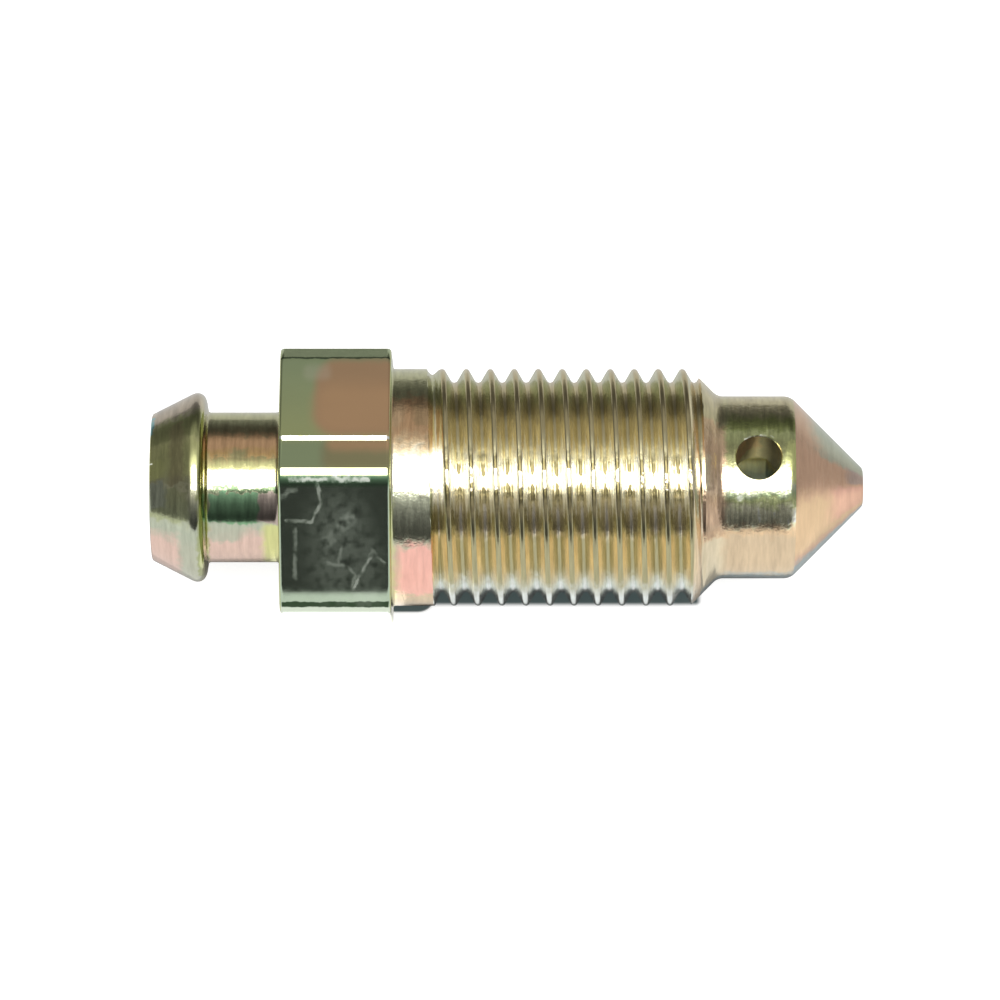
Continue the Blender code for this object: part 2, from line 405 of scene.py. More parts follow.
# %% Drill the cross hole
HOLE_AT, HOLE_RADIUS, HOLE_ANGLE = 25.138, 0.945, 73.4
RIM = 0.04
ABOVE_RIM, DRILL_TOP = 3 * RIM, 0.5
COLLAR = HOLE_RADIUS + 4 * RIM  # the rim's slope of 45 degrees runs on to here
drill = bmesh.new()
drill_outline = ((0, -TAIL_RADIUS), (HOLE_RADIUS, -TAIL_RADIUS), (HOLE_RADIUS, -RIM))
drill_outline += ((COLLAR, ABOVE_RIM), (COLLAR, DRILL_TOP), (0, DRILL_TOP))
drill_verts = [drill.verts.new((across * MM, 0, height * MM)) for across, height in drill_outline]
for pair in zip(drill_verts, drill_verts[1:]):
    drill.edges.new(pair)
bmesh.ops.spin(
    drill,
    geom=drill.verts[:] + drill.edges[:],
    cent=(0, 0, 0),
    axis=(0, 0, 1),
    dvec=(0, 0, 0),
    angle=math.tau,
    steps=72,
    use_merge=True,
    use_duplicate=False,
)
bmesh.ops.remove_doubles(drill, verts=drill.verts[:], dist=1e-7)
bmesh.ops.recalc_face_normals(drill, faces=drill.faces[:])
for vert in drill.verts:
    vert.co.z += math.sqrt((TAIL_RADIUS * MM) ** 2 - vert.co.y**2)
turn = math.radians(HOLE_ANGLE)
outwards = Vector((0, -math.cos(turn), math.sin(turn)))
sideways = outwards.cross(Vector((1, 0, 0)))
turned = Matrix((Vector((1, 0, 0)), sideways, outwards)).transposed().to_4x4()
bmesh.ops.transform(drill, matrix=Matrix.Translation(place(HOLE_AT, 0)) @ turned, verts=drill.verts)


def as_object(bm, name):
    """A scene object from a mesh in the making, at the frame's origin."""
    mesh = bpy.data.meshes.new(name)
    bm.to_mesh(mesh)
    bm.free()
    obj = bpy.data.objects.new(name, mesh)
    bpy.context.scene.collection.objects.link(obj)
    return obj


print("volume before drilling in mm3:", round(screw.calc_volume() / MM**3, 1))
print("volume of the drill in mm3:", round(drill.calc_volume() / MM**3, 1))
# The Boolean is more exact on a mesh in millimetres than on one in metres.
for bm in (screw, drill):
    bmesh.ops.scale(bm, vec=(1 / MM, 1 / MM, 1 / MM), verts=bm.verts[:])
screw_piece = as_object(screw, "turned_screw")
drill_tool = as_object(drill, "drill")
drilling = screw_piece.modifiers.new("cross hole", "BOOLEAN")
drilling.operation = "DIFFERENCE"
drilling.solver = "EXACT"
drilling.object = drill_tool
bpy.context.view_layer.update()
graph = bpy.context.evaluated_depsgraph_get()
drilled = bpy.data.meshes.new_from_object(screw_piece.evaluated_get(graph))
screw_piece.modifiers.clear()
screw_piece.data = drilled
bpy.data.objects.remove(drill_tool)
drilled.transform(Matrix.Scale(MM, 4))
drilled.shade_smooth()

# %% Mark the sharp edges
SHARP_ANGLE, HEX_SHARP_ANGLE = 32, 10
marked = bmesh.new()
marked.from_mesh(drilled)
for edge in marked.edges:
    ends = sorted(vert.co.x for vert in edge.verts)
    lengthwise = abs(edge.verts[0].co.y - edge.verts[1].co.y) < 1e-7
    on_hexagon = ends[0] > place(HEX_AT, 0).x and ends[1] < place(SHOULDER_AT, 0).x
    limit = HEX_SHARP_ANGLE if lengthwise and on_hexagon else SHARP_ANGLE
    edge.smooth = edge.calc_face_angle(0) < math.radians(limit)
print("sharp edges:", sum(not edge.smooth for edge in marked.edges))
marked.to_mesh(drilled)
marked.free()
drilled.calc_loop_triangles()
print("drilled screw:", len(drilled.loop_triangles), "triangles")

# %% [markdown]
# ## The finish
#
# Yellow chromate on zinc is a film about as thin as a wavelength of light, so its colour follows its
# thickness: straw, gold and olive where it is even, and rose, bronze or green in patches where it
# dried thicker. The colour is painted in the object's own coordinates. One group turns a point into
# its place along the screw and its angle round the axis, and a second one makes a soft-edged patch
# between two places and two angles. Materials then lay a few patches over a base colour that goes
# by the angle. Its last tint goes on round the hidden back until it meets the first one below, so
# that no seam shows.

# %% Node helpers
def add_node(tree, kind, inputs=None, **settings):
    """A new node with its settings, and its inputs as values or links from other outputs."""
    node = tree.nodes.new(kind)
    for key, value in settings.items():
        setattr(node, key, value)
    for key, value in (inputs or {}).items():
        if isinstance(value, bpy.types.NodeSocket):
            tree.links.new(value, node.inputs[key])
        else:
            node.inputs[key].default_value = value
    return node


def calculate(tree, operation, *values, clamp=False):
    """The output of a Math node on values or outputs."""
    inputs = dict(enumerate(values))
    return add_node(tree, "ShaderNodeMath", inputs, operation=operation, use_clamp=clamp).outputs[0]


def new_group(name, inputs, outputs):
    """A shader node group with named sockets of (name, kind, default)."""
    group = bpy.data.node_groups.new(name, "ShaderNodeTree")
    for direction, sockets in (("INPUT", inputs), ("OUTPUT", outputs)):
        for label, kind, default in sockets:
            socket = group.interface.new_socket(label, in_out=direction, socket_type="NodeSocket" + kind)
            if default is not None:
                socket.default_value = default
    return group, group.nodes.new("NodeGroupInput").outputs, group.nodes.new("NodeGroupOutput").inputs


def vector_math(tree, operation, *values):
    """The node of a Vector Math operation on vectors or outputs."""
    return add_node(tree, "ShaderNodeVectorMath", dict(enumerate(values)), operation=operation)


def scale_vector(tree, vector, amount):
    """The output of a vector or colour times an amount."""
    inputs = {0: vector, "Scale": amount}
    return add_node(tree, "ShaderNodeVectorMath", inputs, operation="SCALE").outputs[0]


def soft_step(tree, value, low, high):
    """The output of a smooth step that is 0 at one value and 1 at another."""
    inputs = {"Value": value, "From Min": low, "From Max": high}
    return add_node(tree, "ShaderNodeMapRange", inputs, interpolation_type="SMOOTHSTEP").outputs[0]


def use_group(tree, group, inputs=None):
    """The outputs of a group's node in a tree."""
    return add_node(tree, "ShaderNodeGroup", inputs, node_tree=group).outputs


def blend_colour(tree, amount, first, second):
    """One colour laid over another, by an amount."""
    inputs = {0: amount, 6: first, 7: second}
    return add_node(tree, "ShaderNodeMix", inputs, data_type="RGBA").outputs[2]


def colour_ramp(tree, value, stops):
    """The colour of a ramp of (position, colour) stops at a value."""
    node = add_node(tree, "ShaderNodeValToRGB", {0: value})
    elements = node.color_ramp.elements
    elements.remove(elements[1])
    elements[0].position, elements[0].color = stops[0]
    for position, colour in stops[1:]:
        elements.new(position).color = colour
    return node.outputs[0]


# %% Where a point lies on the screw
screw_place, _, place_out = new_group(
    "screw_place",
    [],
    [
        ("Along", "Float", None),
        ("Angle", "Float", None),
        ("Radius", "Float", None),
        ("Millimetres", "Vector", None),
    ],
)
coordinate = add_node(screw_place, "ShaderNodeTexCoord")
from_end = add_node(
    screw_place,
    "ShaderNodeMapping",
    {
        "Vector": coordinate.outputs["Object"],
        "Location": (-nipple_end / MM, 0, -AXIS_HEIGHT),
        "Scale": (1 / MM, 1 / MM, 1 / MM),
    },
)
parts = add_node(screw_place, "ShaderNodeSeparateXYZ", {0: from_end.outputs[0]})
towards = calculate(screw_place, "MULTIPLY", parts.outputs["Y"], -1.0)
turn = calculate(screw_place, "ARCTAN2", parts.outputs["Z"], towards)
degrees = calculate(screw_place, "MULTIPLY", turn, 180 / math.pi)
screw_place.links.new(parts.outputs["X"], place_out["Along"])
screw_place.links.new(degrees, place_out["Angle"])
across = add_node(screw_place, "ShaderNodeCombineXYZ", {1: parts.outputs["Y"], 2: parts.outputs["Z"]})
from_axis = vector_math(screw_place, "LENGTH", across.outputs[0])
screw_place.links.new(from_axis.outputs["Value"], place_out["Radius"])
screw_place.links.new(from_end.outputs[0], place_out["Millimetres"])

# %% A soft-edged patch
MM_PER_DEGREE = 0.085  # round the axis, about as far out as the thread
patch, patch_in, patch_out = new_group(
    "patch",
    [
        ("Along", "Float", 0.0),
        ("Angle", "Float", 0.0),
        ("From", "Float", 0.0),
        ("To", "Float", 1.0),
        ("Lower", "Float", 0.0),
        ("Upper", "Float", 90.0),
        ("Soft", "Float", 0.2),
        ("Round", "Float", 0.2),
    ],
    [("Mask", "Float", None)],
)


def past_side(value, low, high, scale):
    """How far a value lies past a rounded side between two limits, in millimetres."""
    middle = calculate(patch, "MULTIPLY", calculate(patch, "ADD", low, high), 0.5)
    half = calculate(patch, "MULTIPLY", calculate(patch, "SUBTRACT", high, low), 0.5)
    away = calculate(patch, "ABSOLUTE", calculate(patch, "SUBTRACT", value, middle))
    past = calculate(patch, "MULTIPLY", calculate(patch, "SUBTRACT", away, half), scale)
    return calculate(patch, "MAXIMUM", calculate(patch, "ADD", past, patch_in["Round"]), 0.0)


past_end = past_side(patch_in["Along"], patch_in["From"], patch_in["To"], 1.0)
past_edge = past_side(patch_in["Angle"], patch_in["Lower"], patch_in["Upper"], MM_PER_DEGREE)
squares = calculate(patch, "MULTIPLY_ADD", past_end, past_end, calculate(patch, "POWER", past_edge, 2.0))
outside = calculate(patch, "SUBTRACT", calculate(patch, "SQRT", squares), patch_in["Round"])
share = calculate(patch, "DIVIDE", outside, patch_in["Soft"])
patch.links.new(soft_step(patch, share, 0.5, -0.5), patch_out["Mask"])

# %% A scratch
scratch, scratch_in, scratch_out = new_group(
    "scratch",
    [("Place", "Vector", None), ("From", "Vector", None), ("To", "Vector", None), ("Width", "Float", 0.1)],
    [("Mask", "Float", None)],
)
line = vector_math(scratch, "SUBTRACT", scratch_in["To"], scratch_in["From"]).outputs[0]
from_start = vector_math(scratch, "SUBTRACT", scratch_in["Place"], scratch_in["From"]).outputs[0]
onto = vector_math(scratch, "DOT_PRODUCT", from_start, line).outputs["Value"]
length_squared = vector_math(scratch, "DOT_PRODUCT", line, line).outputs["Value"]
share = calculate(scratch, "DIVIDE", onto, length_squared, clamp=True)
nearest = scale_vector(scratch, line, share)
away = vector_math(scratch, "DISTANCE", from_start, nearest).outputs["Value"]
reach = calculate(scratch, "DIVIDE", away, scratch_in["Width"])
scratch.links.new(soft_step(scratch, reach, 1.0, 0.2), scratch_out["Mask"])
print("groups:", [group.name for group in bpy.data.node_groups])

# %% [markdown]
# ## Turning marks
#
# A tool leaves fine rings, and plating leaves them soft and broken. Noise that is squeezed along the
# axis and stretched round it gives such rings. They go into a Bump node, because a mesh fine enough
# for them would be far too heavy.

# %% Fine rings and blotches
turning, turning_in, turning_out = new_group(
    "turning_marks",
    [("Place", "Vector", None), ("Rings", "Float", 5.0), ("Stretch", "Float", 0.7)],
    [("Rings", "Float", None), ("Blotches", "Float", None)],
)
squeeze = add_node(
    turning,
    "ShaderNodeCombineXYZ",
    {0: turning_in["Rings"], 1: turning_in["Stretch"], 2: turning_in["Stretch"]},
)
squeezed = vector_math(turning, "MULTIPLY", turning_in["Place"], squeeze.outputs[0])
rings = add_node(
    turning,
    "ShaderNodeTexNoise",
    {"Vector": squeezed.outputs[0], "Scale": 1.0, "Detail": 3.0, "Roughness": 0.6},
)
blotches = add_node(
    turning,
    "ShaderNodeTexNoise",
    {"Vector": turning_in["Place"], "Scale": 2.6, "Detail": 4.0, "Roughness": 0.6},
)
turning.links.new(rings.outputs["Fac"], turning_out["Rings"])
turning.links.new(blotches.outputs["Fac"], turning_out["Blotches"])
print("marks:", [item.name for item in turning.interface.items_tree if item.in_out == "OUTPUT"])

# %% [markdown]
# ## The plating
#
# Every section of the screw gets its own material from one function. Its base is a list of (angle,
# tint), with 0 degrees at the front, level with the axis, and 90 degrees on top. Each patch states
# its two places along the screw, its two angles, the width of its soft edge, the rounding of its
# corners, its tint and its amount; a few patches are painted shade or painted highlights. A worn
# mark or a painted glint states its width, its amount and its points.
#
# On the thread, thin lines follow the crests and the roots, where the film dries differently. They
# go by the distance from the axis. In and above the white streak they are painted shade as well:
# dark there, and widening away from the streak's core, so that the streak breaks into flames. One
# more line, halfway down the flanks, is a painted highlight: the near-white spires that stand on
# both sides of the white streak.

# %% Tints of the film
HIGHLIGHT_WHITE = (0.97, 0.99, 0.96, 1)
PALE = (0.80, 0.75, 0.58, 1)
STRAW = (0.72, 0.69, 0.45, 1)
GOLD = (0.80, 0.67, 0.36, 1)
TAN = (0.80, 0.60, 0.36, 1)
OLIVE = (0.52, 0.52, 0.30, 1)
DARK_OLIVE = (0.36, 0.40, 0.15, 1)
MOSS = (0.53, 0.57, 0.27, 1)
SAGE = (0.50, 0.54, 0.42, 1)
LEAF = (0.26, 0.45, 0.26, 1)
DEEP_GREEN = (0.045, 0.075, 0.04, 1)
LIME = (0.70, 0.72, 0.30, 1)
MINT = (0.72, 0.80, 0.66, 1)
BRONZE = (0.74, 0.46, 0.25, 1)
BROWN = (0.40, 0.34, 0.19, 1)
ROSE = (1.00, 0.53, 0.45, 1)
BLUSH = (0.78, 0.57, 0.48, 1)
PEACH = (0.74, 0.58, 0.39, 1)
COPPER = (0.76, 0.50, 0.34, 1)
KHAKI = (0.62, 0.56, 0.34, 1)
MAUVE = (0.52, 0.42, 0.37, 1)
ASH = (0.58, 0.60, 0.44, 1)
SLATE = (0.47, 0.57, 0.43, 1)
WORN_AND_GLINT = (0.86, 0.88, 0.80, 1)
SHADE_GREEN = (0.07, 0.12, 0.06, 1)
FERN = (0.42, 0.50, 0.28, 1)
RUST = (0.62, 0.40, 0.23, 1)
CREAM = (0.78, 0.69, 0.49, 1)
PUTTY = (0.86, 0.78, 0.60, 1)
HONEY = (0.92, 0.81, 0.52, 1)
AMBER = (0.88, 0.79, 0.50, 1)
DUSK = (0.55, 0.47, 0.26, 1)
FADED = (0.44, 0.41, 0.24, 1)
WHEAT = (0.82, 0.69, 0.43, 1)
FLARE = (0.98, 0.95, 0.83, 1)
NIGHT = (0.13, 0.11, 0.05, 1)
MIST = (0.80, 0.85, 0.82, 1)
SHADE_STEEL = (0.42, 0.51, 0.51, 1)
BUTTER = (0.95, 0.93, 0.66, 1)
TEAL = (0.25, 0.50, 0.52, 1)
SIENNA = (0.68, 0.45, 0.19, 1)
UMBER = (0.45, 0.31, 0.21, 1)
SAND = (0.86, 0.62, 0.38, 1)
SHADE = (0.33, 0.33, 0.16, 1)

# %% Tints round the axis
def round_ramp(tree, round_axis, stops):
    """The colour of a ramp of (angle, tint or amount) stops, with both of its ends alike."""
    last = stops[-1][1]
    stops = [(-180, last), (max(-180, stops[0][0] - 40), last), *stops]
    ramp = []
    for turn, tint in stops:
        colour = tint if isinstance(tint, tuple) else (tint, tint, tint, 1)
        ramp.append((turn / 360 + 0.5, colour))
    return colour_ramp(tree, round_axis, ramp)


# %% Worn marks and painted glints
WAVER = 0.22  # how far a scratch strays from its straight line, in millimetres
SPECKS_FROM, SPECKS_TO = 0.31, 0.55


def wear_and_glint_mask(tree, where, wear_and_glints):
    """Scratches and painted glints of (width, amount, points of along and angle), roughened, with cloudy
    specks.
    """
    rise = calculate(tree, "MULTIPLY", where["Angle"], MM_PER_DEGREE)
    spot = add_node(tree, "ShaderNodeCombineXYZ", {0: where["Along"], 1: rise}).outputs[0]
    shake = add_node(tree, "ShaderNodeTexNoise", {"Vector": spot, "Scale": 5.0, "Detail": 3.0})
    offset = vector_math(tree, "SUBTRACT", shake.outputs["Color"], (0.5, 0.5, 0.5)).outputs[0]
    shaken = vector_math(tree, "MULTIPLY_ADD", offset, (WAVER, WAVER, 0.0), spot).outputs[0]
    total = 0.0
    for width, amount, points in wear_and_glints:
        for start, end in zip(points, points[1:]):
            ends = [(x, turn * MM_PER_DEGREE, 0) for x, turn in (start, end)]
            mark = {"Place": shaken, "From": ends[0], "To": ends[1], "Width": width}
            mask = calculate(tree, "MULTIPLY", use_group(tree, scratch, mark)["Mask"], amount)
            total = calculate(tree, "MAXIMUM", total, mask)
    fine = add_node(tree, "ShaderNodeTexNoise", {"Vector": spot, "Scale": 2.6, "Detail": 1.5})
    limits = {"Value": fine.outputs["Fac"], "From Min": SPECKS_FROM, "From Max": SPECKS_TO}
    broken = add_node(tree, "ShaderNodeMapRange", limits).outputs[0]
    return calculate(tree, "MULTIPLY", total, broken)


# %% A plated finish
RAGGED_ALONG, RAGGED_ROUND = 0.5, 18.0  # how far blotches bend a patch, in mm and in degrees
ROUGH_SPREAD = 0.12
# A painted glint is as much less metallic as a worn mark.
WORN_AND_GLINT_METAL = -0.6  # how much less metallic a worn mark is


def plating(
    name,
    base,
    patches,
    wear_and_glints=(),
    lines=(),
    rings=5.0,
    depth=0.004,
    blotch=0.0012,
    rough=0.16,
    ragged=1.0,
    streak=((0, 0.3),),
):
    """A plated metal whose base tint goes by angle, with tinted patches, worn marks and painted glints
    over it.
    """
    material = bpy.data.materials.new(name)
    material.use_nodes = True
    tree = material.node_tree
    shader = tree.nodes["Principled BSDF"]
    where = use_group(tree, screw_place)
    marks = use_group(tree, turning, {"Place": where["Millimetres"], "Rings": rings})
    wobble = calculate(tree, "SUBTRACT", marks["Blotches"], 0.5)
    along = calculate(tree, "MULTIPLY_ADD", wobble, RAGGED_ALONG * ragged, where["Along"])
    angle = calculate(tree, "MULTIPLY_ADD", wobble, RAGGED_ROUND * ragged, where["Angle"])
    round_axis = calculate(tree, "MULTIPLY_ADD", angle, 1 / 360, 0.5)
    colour = round_ramp(tree, round_axis, base)
    for start, end, lower, upper, soft, rounding, tint, amount in patches:
        edges = {"From": start, "To": end, "Lower": lower, "Upper": upper}
        edges |= {"Along": along, "Angle": angle, "Soft": soft, "Round": rounding}
        mask = use_group(tree, patch, edges)["Mask"]
        colour = blend_colour(tree, calculate(tree, "MULTIPLY", mask, amount), colour, tint)
    for radius, widths, tints in lines:
        off = calculate(tree, "ABSOLUTE", calculate(tree, "SUBTRACT", where["Radius"], radius))
        reach = calculate(tree, "DIVIDE", off, round_ramp(tree, round_axis, widths))
        line_tint = round_ramp(tree, round_axis, tints)
        colour = blend_colour(tree, soft_step(tree, reach, 1.0, 0.5), colour, line_tint)
    strength = calculate(tree, "MULTIPLY", round_ramp(tree, round_axis, streak), 2.0)
    unevenness = calculate(tree, "SUBTRACT", marks["Rings"], 0.5)
    lighter = calculate(tree, "MULTIPLY_ADD", unevenness, strength, 1.0)
    wear_and_glint = wear_and_glint_mask(tree, where, wear_and_glints) if wear_and_glints else 0.0
    colour = blend_colour(tree, wear_and_glint, scale_vector(tree, colour, lighter), WORN_AND_GLINT)
    tree.links.new(colour, shader.inputs["Base Color"])
    tree.links.new(calculate(tree, "MULTIPLY_ADD", wear_and_glint, WORN_AND_GLINT_METAL, 1.0), shader.inputs["Metallic"])
    smoothest = rough - ROUGH_SPREAD / 2
    roughness = calculate(tree, "MULTIPLY_ADD", marks["Blotches"], ROUGH_SPREAD, smoothest)
    tree.links.new(roughness, shader.inputs["Roughness"])
    bump = {"Strength": 1.0, "Distance": depth * MM, "Height": marks["Rings"]}
    ringed = add_node(tree, "ShaderNodeBump", bump).outputs[0]
    bump = {"Strength": 1.0, "Distance": blotch * MM, "Height": marks["Blotches"], "Normal": ringed}
    blotched = add_node(tree, "ShaderNodeBump", bump).outputs[0]
    tree.links.new(blotched, shader.inputs["Normal"])
    return material


# %% Tints of the nipple
NIPPLE_BASE = [
    (-60, BLUSH), (12, BLUSH), (24, SAGE), (40, ASH), (58, STRAW), (80, SIENNA), (88, BRONZE),
    (95, BRONZE), (101, BROWN), (112, OLIVE),
]
NIPPLE_PATCHES = [
    (2.45, 4.5, 26, 50, 0.1, 0.1, LEAF, 1.0),
    # Painted shade: a dark green strip along the lower edge of the neck's white streak, which narrows it.
    (2.5, 5.6, 50.5, 54.5, 0.3, 0.1, SHADE_GREEN, 1.0),
    (4.5, 5.6, 26, 50, 0.2, 0.2, MAUVE, 0.9),
    (4.7, 5.7, -36, 25, 0.4, 0.3, LIME, 0.9),
    (2.4, 3.8, 8, 25, 0.5, 0.4, SAGE, 0.8),
    (3.3, 4.0, 76, 84, 0.4, 0.3, LEAF, 0.4),
    (2.4, 5.4, 64, 74, 0.5, 0.3, LIME, 0.6),
    # Painted shade along the upper edge of the neck's white streak, which narrows it.
    (2.4, 5.6, 68.5, 77, 0.25, 0.2, SHADE, 0.65),
    (-1.0, 2.25, 56, 160, 0.4, 0.4, OLIVE, 0.9),
    (-1.0, 2.25, 108, 160, 0.8, 0.6, MAUVE, 0.7),
    (-1.0, 2.25, 86, 104, 0.5, 0.4, DARK_OLIVE, 0.6),
    (-1.0, 2.25, 62, 86, 0.7, 0.4, LIME, 0.6),
    (-1.0, 1.7, 30, 54, 0.4, 0.3, DARK_OLIVE, 0.5),
    (1.2, 2.25, -60, 26, 0.4, 0.3, SAGE, 0.9),
    (0.85, 1.45, 56, 100, 0.3, 0.2, BROWN, 0.6),
    (-1.0, 0.6, 60, 74, 0.4, 0.3, LIME, 0.8),
    (-1.0, 0.7, 38, 56, 0.3, 0.3, SAGE, 0.8),
    (-1.0, 0.14, 98, 122, 0.1, 0.1, TEAL, 0.9),
    # Painted shade in the crease where the bulb meets the neck.
    (2.0, 2.42, -30, 52, 0.15, 0.1, DARK_OLIVE, 0.7),
]
# A painted glint: a small whitish dot at the nipple's end.
NIPPLE_GLINT = [(0.1, 1.0, [(0.02, 72), (0.06, 72)])]

# %% Tints of the shoulder
SHOULDER_BASE = [
    (-60, PEACH), (6, PEACH), (30, ASH), (50, ASH), (56, PALE), (68, PALE), (75, TAN), (84, BRONZE),
    (98, BRONZE), (106, OLIVE),
]
SHOULDER_PATCHES = [
    (10.3, 12.0, -10, 25, 0.7, 0.2, ROSE, 1.0),
    (9.7, 10.5, 84, 100, 0.5, 0.4, TAN, 0.6),
    (9.7, 10.12, -60, 48, 0.2, 0.2, LIME, 0.5),
    (10.9, 12.2, 84, 100, 0.4, 0.3, BROWN, 0.4),
]

# %% Tints of the thread
THREAD_BASE = [
    (-60, PALE), (-46, MIST), (-20, MIST), (0, CREAM), (8, WHEAT), (26, WHEAT), (31, KHAKI), (38, KHAKI),
    (44, PALE), (68, PALE), (76, HONEY), (99, AMBER), (111, OLIVE),
]
THREAD_PATCHES = [
    (22.5, 24.0, -60, 60, 0.4, 0.2, PEACH, 1.0),
    (22.5, 24.0, 60, 160, 0.4, 0.2, TAN, 0.8),
]
# Line widths by angle: nearly 0 in the white streak's core and wider round it, so that the painted shade
# shapes the streak.
LINE_WIDTHS = [
    (-60, 0.08), (34, 0.08), (40, 0.06), (52, 0.05), (56, 0.001), (61, 0.001), (63, 0.04), (70, 0.055),
    (80, 0.07), (130, 0.08),
]
LOW_TINTS = [(-60, PALE), (-46, MIST), (-14, MIST), (2, FADED)]
# The dark tints from 50 to 74 degrees are painted shade in and above the white streak.
PAINTED_SHADE_IN_STREAK = [(50, NIGHT), (66, NIGHT), (74, KHAKI), (84, DUSK), (130, DUSK)]
CREST_TINTS = [*LOW_TINTS, (36, FADED), (42, DUSK), *PAINTED_SHADE_IN_STREAK]
ROOT_TINTS = [*LOW_TINTS, (24, FADED), (31, PUTTY), (40, PUTTY), (46, DUSK), *PAINTED_SHADE_IN_STREAK]
# The near-white spire line is a painted highlight, widest round the white streak.
PAINTED_SPIRE_WIDTHS = [
    (36, 0.001), (42, 0.06), (52, 0.22), (62, 0.28), (67, 0.26), (74, 0.18), (79, 0.05), (83, 0.001),
]
THREAD_LINES = [
    (THREAD_RADIUS, LINE_WIDTHS, CREST_TINTS),
    (THREAD_RADIUS - THREAD_DEPTH, LINE_WIDTHS, ROOT_TINTS),
    (THREAD_RADIUS - THREAD_DEPTH / 2, PAINTED_SPIRE_WIDTHS, [(0, FLARE)]),
]

# %% Tints of the tail
# The steel-blue tint below -22 degrees, fading out by -12, is painted shade: the dark outline along the
# lower edge. The dark SHADE from 68 to 78 degrees is painted shade that narrows the white streak.
TAIL_BASE = [
    (-44, SHADE_STEEL), (-22, SHADE_STEEL), (-12, PEACH), (20, PEACH), (26, SAND), (32, BUTTER), (40, BUTTER),
    (45, MOSS), (49, FERN), (53, ASH), (62, STRAW), (68, SHADE), (78, SHADE), (90, MOSS),
    (94, DARK_OLIVE), (100, DARK_OLIVE), (110, KHAKI),
]
TAIL_PATCHES = [
    (22.4, 23.75, 30, 160, 0.3, 0.3, COPPER, 0.7),
    (22.4, 23.8, 24, 50, 0.6, 0.3, UMBER, 0.8),
    (22.4, 23.7, -20, 22, 0.5, 0.3, CREAM, 0.8),
    (22.4, 23.1, 52, 72, 0.3, 0.2, CREAM, 0.7),
    (22.4, 23.9, 96, 160, 0.4, 0.2, OLIVE, 0.7),
    # Painted shade: the dark outline along the chamfer's lower edge.
    (22.4, 23.9, -46, -20, 0.3, 0.2, SHADE_STEEL, 1.0),
    # A painted highlight: a pale streak at the tail's far end, above the white streak.
    (26.3, 26.9, 56, 84, 0.3, 0.2, LIME, 0.8),
]
# Painted glints: two whitish specks at the lower edge of the white streak, and two bright marks on the
# cross hole's upper rim.
TAIL_GLINTS = [
    (0.2, 1.0, [(24.32, 47), (24.4, 47)]),
    (0.15, 0.5, [(26.45, 42.5), (26.55, 42.5)]),
    (0.14, 0.9, [(24.65, 85.5), (24.9, 87.5)]),
    (0.08, 0.6, [(25.2, 88.8), (25.7, 87)]),
]

# %% Tints of the cone and the bore
# The steel-blue tint below -13 degrees is painted shade: the dark outline along the lower edge.
CONE_BASE = [
    (-44, SHADE_STEEL), (-13, SHADE_STEEL), (-3, COPPER), (4, SAND), (40, SAND), (54, COPPER), (80, COPPER),
    (112, SAGE),
]
CONE_PATCHES = [
    (26.5, 27.4, 76, 160, 0.8, 0.4, COPPER, 0.8),
    (27.8, 29.8, 84, 160, 0.8, 0.5, SAGE, 0.8),
    (28.2, 29.8, 10, 54, 0.8, 0.5, ROSE, 0.5),
    (28.9, 29.8, 60, 88, 0.5, 0.3, MAUVE, 0.8),
]
BORE_BASE = [(-150, MINT), (64, MINT), (72, OLIVE), (80, TAN), (120, GOLD)]
BORE_PATCHES = [
    # Painted shade deeper in the bore, beyond the cross hole.
    (25.2, 26.4, -60, 160, 0.4, 0.2, BROWN, 0.7),
    (24.2, 25.2, 79, 95, 0.3, 0.2, BRONZE, 0.7),
]

# %% Make the finishes of the turned sections
STREAKS = [(-60, 0.2), (24, 0.25), (34, 0.7), (50, 0.7), (60, 0.3), (80, 0.5), (140, 0.5)]
TAIL_STREAKS = [(-60, 0.2), (24, 0.3), (32, 1.2), (50, 1.2), (60, 0.4), (80, 0.6), (140, 0.6)]
finishes = {
    "nipple": plating(
        "plated_nipple",
        NIPPLE_BASE,
        NIPPLE_PATCHES,
        NIPPLE_GLINT,
        blotch=0.005,
        rough=0.13,
        streak=STREAKS,
    ),
    "shoulder": plating(
        "plated_shoulder",
        SHOULDER_BASE,
        SHOULDER_PATCHES,
        depth=0.008,
        blotch=0.015,
        streak=STREAKS,
    ),
    "thread": plating(
        "plated_thread",
        THREAD_BASE,
        THREAD_PATCHES,
        lines=THREAD_LINES,
        rings=12.0,
        depth=0.009,
        blotch=0.01,
        rough=0.2,
        streak=[(0, 0.4)],
    ),
    "tail": plating(
        "plated_tail",
        TAIL_BASE,
        TAIL_PATCHES,
        TAIL_GLINTS,
        depth=0.008,
        blotch=0.018,
        rough=0.17,
        streak=TAIL_STREAKS,
    ),
    "cone": plating(
        "plated_cone",
        CONE_BASE,
        CONE_PATCHES,
        depth=0.003,
        blotch=0.004,
        rough=0.22,
        streak=[(0, 0.2)],
    ),
    "bore": plating("plated_bore", BORE_BASE, BORE_PATCHES, rough=0.4),
}
print("finishes so far:", list(finishes))

